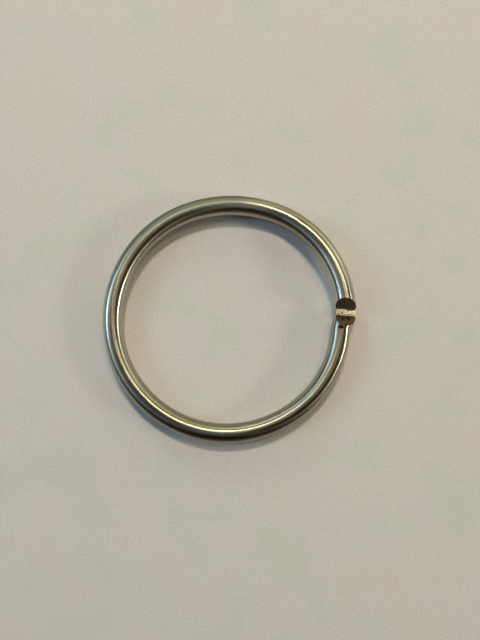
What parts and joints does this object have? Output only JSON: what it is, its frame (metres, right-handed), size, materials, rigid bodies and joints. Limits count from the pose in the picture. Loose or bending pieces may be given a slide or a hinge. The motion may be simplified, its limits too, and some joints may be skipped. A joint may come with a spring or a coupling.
{
  "type": "split wire ring",
  "caption": "Round ring of bright steel wire, cut through once, with one pinched end sprung up over the other, for hanging, tying or holding straps.",
  "frame": {"origin": "centre of the ring on the wire's mid-plane", "axes": "+Z along the ring's axis, up off the bench; +X from the centre through the cut"},
  "size_m": [0.0618, 0.0605, 0.0069],
  "materials": {
    "wire": "bright plated steel wire, lightly worn, with dull dark brown cut faces"
  },
  "bodies": {
    "root": {"ring": "wire"}
  },
  "joints": []
}
